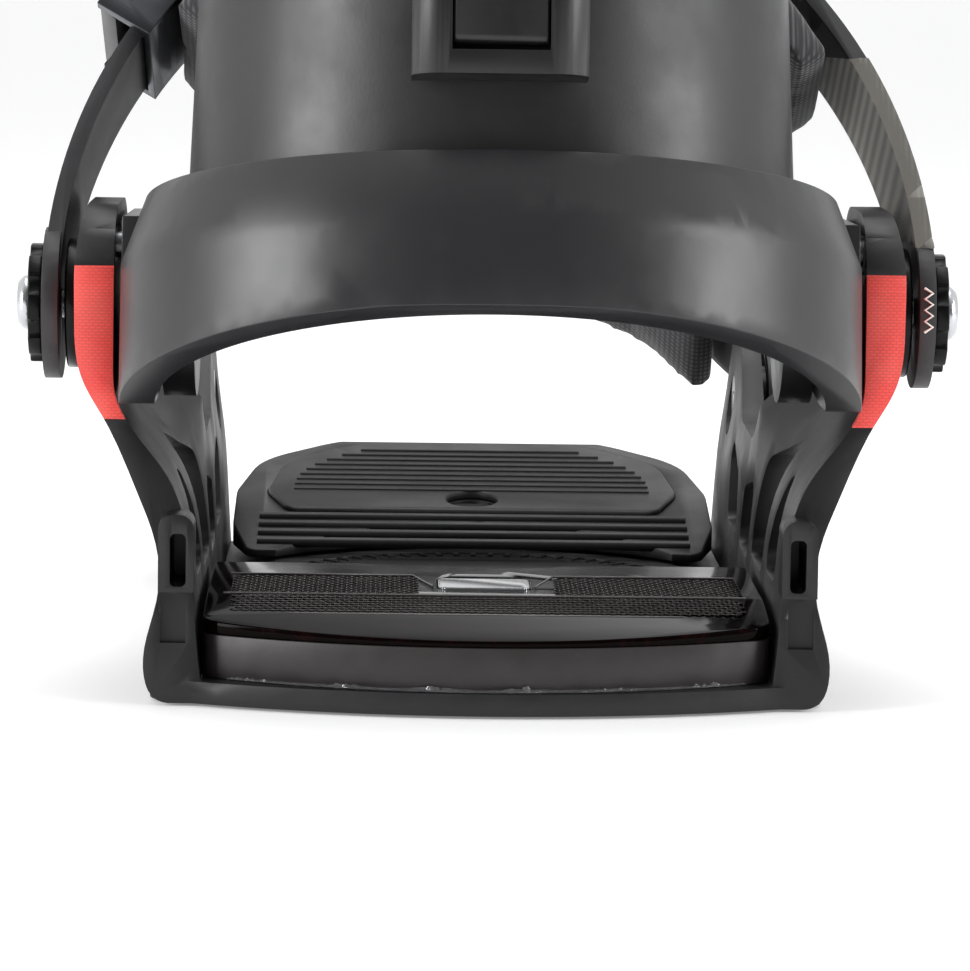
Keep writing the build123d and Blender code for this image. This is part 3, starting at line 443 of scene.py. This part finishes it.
film_mesh.from_pydata(film_points, [], film_faces)
strip = bpy.data.objects.new("shipping_film", film_mesh)
bpy.context.scene.collection.objects.link(strip)
thick = strip.modifiers.new("sheet", "SOLIDIFY")
thick.thickness = 0.08 * MM
settle(strip, clear_film, "chassis")

# ---------------------------------------------------------------- mounting disc and cushions
# The disc is a nylon moulding that clamps the base to the board. Fine radial teeth round its rim hold
# the stance angle.
TOOTH_COUNT = 72
TOOTH_RING_MM = 42.5      # radius of the circle that the teeth's centres lie on
disc = rounded("mounting_disc", 0.35, nylon)
disc_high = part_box("mounting_disc")[1]
teeth_tree, teeth_in = geometry_tree("ring_of_teeth", (
    ("Count", "Int"), ("Radius", "Float"), ("Tooth", "Vector"), ("Height", "Float"), ("Finish", "Material")))
circle = add(teeth_tree, "GeometryNodeMeshCircle", {"Vertices": teeth_in["Count"],
                                                    "Radius": teeth_in["Radius"]})
lifted = add(teeth_tree, "ShaderNodeCombineXYZ", {2: teeth_in["Height"]})
raised = add(teeth_tree, "GeometryNodeTransform", {"Geometry": circle.outputs[0],
                                                   "Translation": lifted.outputs[0]})
tooth = add(teeth_tree, "GeometryNodeMeshCube", {"Size": teeth_in["Tooth"]})
outward = add(teeth_tree, "FunctionNodeAlignRotationToVector",
              {"Vector": add(teeth_tree, "GeometryNodeInputPosition").outputs[0]}, axis="X", pivot_axis="Z")
teeth = add(teeth_tree, "GeometryNodeInstanceOnPoints", {"Points": raised.outputs[0],
                                                         "Instance": tooth.outputs[0],
                                                         "Rotation": outward.outputs[0]})
close_tree(teeth_tree, teeth.outputs[0], teeth_in["Finish"])
grow("disc_teeth", teeth_tree, {"Count": TOOTH_COUNT, "Radius": TOOTH_RING_MM * MM,
                                "Tooth": (4.0 * MM, 1.1 * MM, 0.7 * MM), "Height": disc_high.z},
     nylon, "disc")
cover_finish = moulded("acetal_gloss", "#0d0d0e", "#1b1b1c", 0.2, grain_mm=2.0)
disc_cover = rounded("disc_cover", 0.4, cover_finish)
soft_foam = moulded("eva_foam_cut", "#2a2a2c", "#38383a", 0.75, grain_mm=0.9, depth_mm=0.08)
for name in ("rear_cushion", "front_cushion"):
    cushion = rounded(name, 0.3, soft_foam)

# ---------------------------------------------------------------- toe ramp
# The ramp slides under the toes. It is the base's nylon with four broad ribs at its low end, and a
# moulded rubber tread with fine ribs on its slope.
ramp = rounded("toe_ramp", 1.0, nylon)
rubber = moulded("sbr_rubber_moulded", "#262425", "#343132", 0.5, grain_mm=0.8, depth_mm=0.04)
tread = rounded("toe_tread", 0.6, rubber)
RAMP_FOOT_MM = 8.6        # height of the slope where it begins
RAMP_SLOPE = 14.6 / 86.0  # rise over run
rib_tree, rib_in = geometry_tree("ribs", (
    ("Count", "Int"), ("Start", "Vector"), ("Step", "Vector"), ("Length", "Float"), ("Radius", "Float"),
    ("Narrowing", "Float"), ("Finish", "Material")))
rows = add(rib_tree, "GeometryNodeMeshLine", {"Count": rib_in["Count"], "Start Location": rib_in["Start"],
                                              "Offset": rib_in["Step"]}, mode="OFFSET")
half_length = add(rib_tree, "ShaderNodeMath", {0: rib_in["Length"], 1: 0.5}, operation="MULTIPLY")
minus_half = add(rib_tree, "ShaderNodeMath", {0: rib_in["Length"], 1: -0.5}, operation="MULTIPLY")
rib_from = add(rib_tree, "ShaderNodeCombineXYZ", {0: minus_half.outputs[0]})
rib_to = add(rib_tree, "ShaderNodeCombineXYZ", {0: half_length.outputs[0]})
rib_line = add(rib_tree, "GeometryNodeCurvePrimitiveLine", {"Start": rib_from.outputs[0],
                                                            "End": rib_to.outputs[0]})
rib_round = add(rib_tree, "GeometryNodeCurvePrimitiveCircle", {"Resolution": 10, "Radius": rib_in["Radius"]})
rib_bar = add(rib_tree, "GeometryNodeCurveToMesh", {"Curve": rib_line.outputs[0],
                                                    "Profile Curve": rib_round.outputs[0], "Fill Caps": True})
rib_index = add(rib_tree, "GeometryNodeInputIndex")
share = add(rib_tree, "ShaderNodeMath", {0: rib_index.outputs[0], 1: rib_in["Count"]}, operation="DIVIDE")
front_share = add(rib_tree, "ShaderNodeMath", {0: share.outputs[0], 1: 2.6}, operation="POWER")
cut = add(rib_tree, "ShaderNodeMath", {0: front_share.outputs[0], 1: rib_in["Narrowing"]},
          operation="MULTIPLY")
keep_share = add(rib_tree, "ShaderNodeMath", {0: 1.0, 1: cut.outputs[0]}, operation="SUBTRACT")
rib_scale = add(rib_tree, "ShaderNodeCombineXYZ", {0: keep_share.outputs[0], 1: 1.0, 2: 1.0})
bars = add(rib_tree, "GeometryNodeInstanceOnPoints", {"Points": rows.outputs[0],
                                                      "Instance": rib_bar.outputs[0],
                                                      "Scale": rib_scale.outputs[0]})
close_tree(rib_tree, bars.outputs[0], rib_in["Finish"])
ramp_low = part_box("toe_ramp")[0]


def on_ramp(y, above):
    """Height of the ramp's slope at a station, plus an offset."""
    return RAMP_FOOT_MM * MM + (y - ramp_low.y) * RAMP_SLOPE + above


low_y = ramp_low.y + 5 * MM
grow("ramp_ribs", rib_tree, {"Count": 4, "Start": (0, low_y, on_ramp(low_y, 0.1 * MM)),
                             "Step": (0, 6 * MM, 6 * MM * RAMP_SLOPE), "Length": 92 * MM, "Radius": 1.1 * MM,
                             "Narrowing": 0.0}, nylon, "ramp")
tread_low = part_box("toe_tread")[0]
rib_y = tread_low.y + 14 * MM
grow("tread_ribs", rib_tree, {"Count": 9, "Start": (0, rib_y, on_ramp(rib_y, 1.0 * MM)),
                              "Step": (0, 3.8 * MM, 3.8 * MM * RAMP_SLOPE), "Length": 78 * MM,
                              "Radius": 0.4 * MM, "Narrowing": 0.5}, rubber, "ramp")

# ---------------------------------------------------------------- fasteners
# Zinc-plated steel screws and nuts hold the parts together, and the strap bolts have bright machined heads.
# Tool marks and uneven polish break up their shine.
WAVE_PER_PITCH = 0.314    # a wave texture's scale is this over the pitch of its bands


def metal(name, colour, roughness, ring_mm=0.35, depth_mm=0.01):
    """Turned or brushed metal: fine parallel tool marks and uneven gloss."""
    made, tree, shader = material(name, colour, roughness, Metallic=1.0)
    place = add(tree, "ShaderNodeTexCoord").outputs["Object"]
    marks = add(tree, "ShaderNodeTexWave", {"Vector": place, "Scale": WAVE_PER_PITCH / (ring_mm * MM),
                                            "Distortion": 1.5, "Detail": 2.0},
                wave_type="BANDS", bands_direction="DIAGONAL")
    patch = add(tree, "ShaderNodeTexNoise", {"Vector": place, "Scale": 1 / (4 * MM), "Detail": 4.0})
    gloss = add(tree, "ShaderNodeMapRange", {"Value": patch.outputs["Fac"], "To Min": roughness - 0.1,
                                             "To Max": roughness + 0.1})
    tree.links.new(gloss.outputs["Result"], shader.inputs["Roughness"])
    bump = add(tree, "ShaderNodeBump", {"Height": marks.outputs["Fac"], "Distance": depth_mm * MM,
                                        "Strength": 0.5})
    tree.links.new(bump.outputs["Normal"], shader.inputs["Normal"])
    return made


zinc = metal("zinc_plated_steel", "#8f9092", 0.34)
paint(zinc, "heel_pad_screws", "hoop_nuts", "ankle_tnuts", "toe_tnuts", "ankle_lever_pin", "ankle_pawl_pin",
      "toe_lever_pin", "toe_pawl_pin", "ankle_pawl_spring", "toe_pawl_spring", "hoop_bolts", "lean_pin",
      "toe_ramp_screw")
bright = metal("stainless_steel_turned", "#c4c5c8", 0.24)
for name in ("ankle_bolts", "toe_bolts", "highback_pivot_screws"):
    heads = rounded(name, 0.35, bright)
gloss_black = moulded("acetal_moulded_gloss", "#040405", "#121213", 0.26, grain_mm=1.5,
                      Specular_IOR_Level=0.2)
for name in ("ankle_knob_left", "ankle_knob_right", "ankle_washer_left", "ankle_washer_right"):
    knob = rounded(name, 0.5, gloss_black, segments=3)
paint(gloss_black, "toe_washers")

# ---------------------------------------------------------------- heel hoop
# The hoop is a curved nylon band bolted inside the arms. Its tool was polished, so it is satin: the
# light slides down its sides in soft vertical bands.
satin = moulded("nylon_satin_moulded", "#1f1f21", "#29292b", 0.36, grain_mm=0.8, depth_mm=0.012, spread=0.05)
hoop = rounded("heel_hoop", 1.1, satin, segments=3)

# ---------------------------------------------------------------- highback
# The highback is a thin nylon shell that hinges on the arm pivots. A sewn foam lining faces the calf.
shell_nylon = moulded("nylon_moulded_shell", "#19191b", "#29292b", 0.42, grain_mm=0.6, depth_mm=0.02)
shell = rounded("highback_shell", 1.0, shell_nylon, segments=3)
clamp_nylon = moulded("nylon_moulded_clamp", "#141415", "#2a2a2b", 0.36, grain_mm=0.7)
for name in ("lean_block", "lean_lever", "ankle_pawl", "toe_pawl"):
    clamp = rounded(name, 0.5, clamp_nylon)


def woven(name, warp, weft, thread_mm, tilt_deg, roughness=0.82):
    """Plain weave: two sets of threads cross at right angles, with fuzz between them."""
    made, tree, shader = material(name, warp, roughness, Sheen_Weight=0.25)
    place = add(tree, "ShaderNodeTexCoord").outputs["Object"]
    turned = add(tree, "ShaderNodeMapping", {"Vector": place, "Rotation": (math.radians(-tilt_deg), 0, 0)})
    scale = WAVE_PER_PITCH / (thread_mm * MM)
    across = add(tree, "ShaderNodeTexWave", {"Vector": turned.outputs[0], "Scale": scale, "Distortion": 0.4,
                                             "Detail": 1.0}, wave_type="BANDS", bands_direction="X")
    along = add(tree, "ShaderNodeTexWave", {"Vector": turned.outputs[0], "Scale": scale, "Distortion": 0.4,
                                            "Detail": 1.0}, wave_type="BANDS", bands_direction="Z")
    weave = add(tree, "ShaderNodeMath", {0: across.outputs["Fac"], 1: along.outputs["Fac"]},
                operation="MULTIPLY")
    fuzz = add(tree, "ShaderNodeTexNoise", {"Vector": place, "Scale": 1 / (0.5 * MM), "Detail": 5.0})
    height = add(tree, "ShaderNodeMath", {0: fuzz.outputs["Fac"], 1: 0.25, 2: weave.outputs[0]},
                 operation="MULTIPLY_ADD")
    tone = add(tree, "ShaderNodeMix", {0: weave.outputs[0], 6: linear(weft), 7: linear(warp)},
               data_type="RGBA")
    tree.links.new(tone.outputs[2], shader.inputs["Base Color"])
    bump = add(tree, "ShaderNodeBump", {"Height": height.outputs[0], "Distance": 0.18 * MM, "Strength": 0.7})
    tree.links.new(bump.outputs["Normal"], shader.inputs["Normal"])
    return made


CLOTH_STEPS = 20


def padded_piece(node, finish, voxel_mm, shrink_mm, swell_mm):
    """Foam-filled cover: a remeshed copy of the soft solid swells as cloth, by no more than swell_mm."""
    name = node + "_cover"
    piece = bpy.data.objects.new(name, nodes[node].data.copy())
    piece.data.name = name
    bpy.context.scene.collection.objects.link(piece)
    work = bmesh.new()
    work.from_mesh(piece.data)
    bmesh.ops.remove_doubles(work, verts=work.verts, dist=MERGE)
    work.to_mesh(piece.data)
    work.free()
    remesh = piece.modifiers.new("voxels", "REMESH")
    remesh.mode = "VOXEL"
    remesh.voxel_size = voxel_mm * MM
    settle(piece, finish, nodes[node]["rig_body"])
    piece.parent = None
    mesh = piece.data
    normals = [v.normal.copy() for v in mesh.vertices]
    for vertex, normal in zip(mesh.vertices, normals):
        vertex.co -= normal * shrink_mm * MM
    smooth = piece.modifiers.new("ease", "SMOOTH")
    smooth.iterations = 4
    start = [v.co.copy() for v in mesh.vertices]
    cloth = piece.modifiers.new("swell", "CLOTH")
    cloth.settings.use_pressure = True
    cloth.settings.uniform_pressure_force = 4.0
    cloth.settings.effector_weights.gravity = 0.0
    cloth.settings.quality = 5
    for step in range(1, CLOTH_STEPS + 1):
        bpy.context.scene.frame_set(step)
    seen = piece.evaluated_get(bpy.context.evaluated_depsgraph_get())
    swollen = [v.co.copy() for v in seen.data.vertices]
    piece.modifiers.remove(cloth)
    bpy.context.scene.frame_set(1)
    for vertex, old, new in zip(mesh.vertices, start, swollen):
        move = new - old
        if move.length > swell_mm * MM:
            move = move.normalized() * swell_mm * MM
        vertex.co = old + move
    finer = piece.modifiers.new("finer", "SUBSURF")
    finer.levels = finer.render_levels = 1
    settle(piece, finish, nodes[node]["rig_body"])
    for polygon in piece.data.polygons:
        polygon.use_smooth = True
    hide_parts(node)
    return piece


lining_cloth = woven("polyester_knit_over_foam", "#3a3a3d", "#19191a", 1.1, 7)
padded_piece("highback_lining", lining_cloth, 1.6, 0.5, 1.2)

# ---------------------------------------------------------------- straps
# Both straps are flexible urethane: a toothed ladder on the left, a plain connector on the right and a
# padded body between them. A cast buckle with a sprung pawl pulls the ladder in.
ANKLE_TILT = 60.0
TOE_TILT = 25.0
urethane = moulded("urethane_moulded_strap", "#29292b", "#3d3d40", 0.45, grain_mm=0.9, depth_mm=0.03)
for name in ("ankle_ladder", "ankle_connector", "toe_ladder", "toe_connector"):
    strap = rounded(name, 0.5, urethane)
cast = metal("anodised_aluminium_cast", "#585a5e", 0.36, ring_mm=0.6)
for name in ("ankle_buckle_base", "toe_buckle_base", "ankle_lever", "toe_lever"):
    buckle = rounded(name, 0.4, cast)
cover_cloth = woven("polyester_woven_cover", "#4a4a4d", "#1c1c1e", 1.0, ANKLE_TILT)
toe_cloth = woven("polyester_woven_toe_cover", "#454548", "#1a1a1c", 1.0, TOE_TILT)
ankle_pad = padded_piece("ankle_pad", cover_cloth, 1.9, 0.9, 1.6)
toe_pad = padded_piece("toe_pad", toe_cloth, 1.6, 0.8, 1.4)

# Teeth on the ladders and stitches on the pads follow their strap: each line is found on the finished
# surface by rays that run inwards in the strap's own plane.
RAY_START = 0.2           # metres from the centre, well outside any strap


def strap_frame(bolt_node, tilt_deg):
    """Matrix from a strap's own plane to the binding: X across, Y along the strap, Z across its width."""
    low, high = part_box(bolt_node)
    pivot = Vector((0, (low.y + high.y) / 2, (low.z + high.z) / 2))
    return Matrix.Translation(pivot) @ Matrix.Rotation(math.radians(tilt_deg), 4, "X")


def surface_line(piece, plane, centre_y, half_span, start_deg, end_deg, steps, across):
    """Points on a piece's outer face round a centre in a strap's plane; across gives the side offset."""
    tree = BVHTree.FromObject(piece, bpy.context.evaluated_depsgraph_get())
    found = []
    for step in range(steps + 1):
        angle = math.radians(start_deg + (end_deg - start_deg) * step / steps)
        reach = Vector((math.cos(angle), math.sin(angle), 0))
        centre = Vector((0, centre_y, 0))
        far = centre + reach * RAY_START
        far.z = across(half_span * math.cos(angle))
        hit = tree.ray_cast(plane @ far, (plane.to_3x3() @ -reach).normalized())[0]
        if hit is not None:
            found.append(tuple(plane.inverted() @ hit))
    return found


row_tree, row_in = geometry_tree("row_along_a_line", (
    ("Spacing", "Float"), ("Size", "Vector"), ("Round", "Bool"), ("Tilt", "Float"), ("Pivot", "Vector"),
    ("Finish", "Material")))
row_curve = add(row_tree, "GeometryNodeMeshToCurve", {"Mesh": row_in["Geometry"]})
row_points = add(row_tree, "GeometryNodeCurveToPoints", {"Curve": row_curve.outputs[0],
                                                         "Length": row_in["Spacing"]}, mode="LENGTH")
row_box = add(row_tree, "GeometryNodeMeshCube", {"Size": row_in["Size"]})
row_ball = add(row_tree, "GeometryNodeMeshIcoSphere", {"Radius": 0.5, "Subdivisions": 1})
row_thread = add(row_tree, "GeometryNodeTransform", {"Geometry": row_ball.outputs[0],
                                                     "Scale": row_in["Size"]})
row_shape = add(row_tree, "GeometryNodeSwitch", {"Switch": row_in["Round"], "False": row_box.outputs[0],
                                                 "True": row_thread.outputs[0]}, input_type="GEOMETRY")
row_turn = add(row_tree, "FunctionNodeAlignRotationToVector", {"Vector": row_points.outputs["Tangent"]},
               axis="X", pivot_axis="Z")
row_set = add(row_tree, "GeometryNodeInstanceOnPoints", {"Points": row_points.outputs[0],
                                                         "Instance": row_shape.outputs[0],
                                                         "Rotation": row_turn.outputs[0]})
row_lean = add(row_tree, "ShaderNodeCombineXYZ", {0: row_in["Tilt"]})
row_placed = add(row_tree, "GeometryNodeTransform", {"Geometry": row_set.outputs[0],
                                                     "Translation": row_in["Pivot"],
                                                     "Rotation": row_lean.outputs[0]})
close_tree(row_tree, row_placed.outputs[0], row_in["Finish"])
thread = material("polyester_thread", "#8b8b8e", 0.6, Sheen_Weight=0.2)[0]
STRAPS = (
    ("ankle", "ankle_ladder", ankle_pad, "ankle_bolts", ANKLE_TILT, 26.0, 74.0, (172, 128), (13, 30)),
    ("toe", "toe_ladder", toe_pad, "toe_bolts", TOE_TILT, 20.0, 58.0, (168, 128), (9, 17)),
)
WIDE_TO_MM = 30           # a pad keeps its full width this far from the centre line
TAPER_RUN_MM = 36         # and narrows over this distance
SEAM_INSET_MM = 3.4       # the seam's distance from the pad's edge
SEAM_SPAN = (132, 52)     # degrees, from the ladder's side to the connector's
LADDER_STEPS = 40
SEAM_STEPS = 70
for strap, ladder, pad, bolt, tilt, centre_mm, span_mm, ladder_span, (narrow, wide) in STRAPS:
    plane = strap_frame(bolt, tilt)
    body = strap + "_strap"
    ladder_piece = bpy.data.objects[ladder + "_moulding"]
    line = surface_line(ladder_piece, plane, centre_mm * MM, span_mm * MM, *ladder_span, LADDER_STEPS,
                        lambda x: 0.0)
    settings = {"Tilt": math.radians(tilt), "Pivot": tuple(plane.translation)}
    grow(strap + "_ladder_teeth", row_tree,
         {"Spacing": 3.2 * MM, "Size": (1.5 * MM, 1.2 * MM, 10.0 * MM), "Round": False, **settings},
         urethane, body, polyline(line))
    for side in (-1, 1):
        def edge_of_pad(x, side=side):
            """Side offset of the seam: the pad is widest over the middle and narrows beyond it."""
            taper = min(max((abs(x) / MM - WIDE_TO_MM) / TAPER_RUN_MM, 0), 1)
            return side * (wide - (wide - narrow) * taper - SEAM_INSET_MM) * MM
        seam = surface_line(pad, plane, centre_mm * MM, span_mm * MM, *SEAM_SPAN, SEAM_STEPS, edge_of_pad)
        if len(seam) > 3:
            grow(f"{strap}_stitches_{'upper' if side > 0 else 'lower'}", row_tree,
                 {"Spacing": 3.0 * MM, "Size": (2.3 * MM, 0.7 * MM, 0.7 * MM), "Round": True, **settings},
                 thread, body, polyline(seam))

# A sleeve of pale woven tape is slipped over the connector above its bolt, so that it doesn't chafe the boot.
SLEEVE_FROM = 82 * MM
SLEEVE_TO = 116 * MM
tape = woven("polyester_tape_pale", "#c4c1b8", "#6f6c66", 1.0, ANKLE_TILT)
sleeve = bpy.data.objects.new("connector_sleeve", nodes["ankle_connector"].data.copy())
sleeve.data.name = "connector_sleeve"
bpy.context.scene.collection.objects.link(sleeve)
work = bmesh.new()
work.from_mesh(sleeve.data)
bmesh.ops.remove_doubles(work, verts=work.verts, dist=MERGE)
for height, up in ((SLEEVE_FROM, -1), (SLEEVE_TO, 1)):
    parts = work.verts[:] + work.edges[:] + work.faces[:]
    bmesh.ops.bisect_plane(work, geom=parts, plane_co=(0, 0, height), plane_no=(0, 0, up), clear_outer=True)
bmesh.ops.holes_fill(work, edges=work.edges, sides=0)
bmesh.ops.recalc_face_normals(work, faces=work.faces)
work.normal_update()
for vertex in work.verts:
    thickness = 0.3 if vertex.normal.x > 0 else 0.03      # the side towards the boot is pulled tight
    vertex.co += vertex.normal * thickness * MM
work.to_mesh(sleeve.data)
work.free()
settle(sleeve, tape, "ankle_strap")

# White zigzag stitching shows on the edge of the right-hand connector, where its cover is folded over.
white_thread = material("white_bonded_nylon_thread", "#e8e6e0", 0.5)[0]
connector_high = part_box("ankle_connector")[1]
bolt_low, bolt_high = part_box("ankle_bolts")
PIVOT_Y = (bolt_low.y + bolt_high.y) / 2
PIVOT_Z = (bolt_low.z + bolt_high.z) / 2
RIM_R = 14.1 * MM         # just outside the connector's rounded end
ZIGZAG_TURNS = 9
ZIGZAG_FROM = 190         # degrees round the bolt
ZIGZAG_STEP = 4.2
ZIGZAG_INSETS = (2.2, 0.7)
zigzag = []
for step in range(ZIGZAG_TURNS):
    angle = math.radians(ZIGZAG_FROM - ZIGZAG_STEP * step)
    x = connector_high.x - ZIGZAG_INSETS[step % 2] * MM
    zigzag.append((x, PIVOT_Y + RIM_R * math.cos(angle), PIVOT_Z + RIM_R * math.sin(angle)))
grow("connector_zigzag", bead_tree, {"Radius": 0.28 * MM, "Sides": 6}, white_thread, "ankle_strap",
     polyline(zigzag))
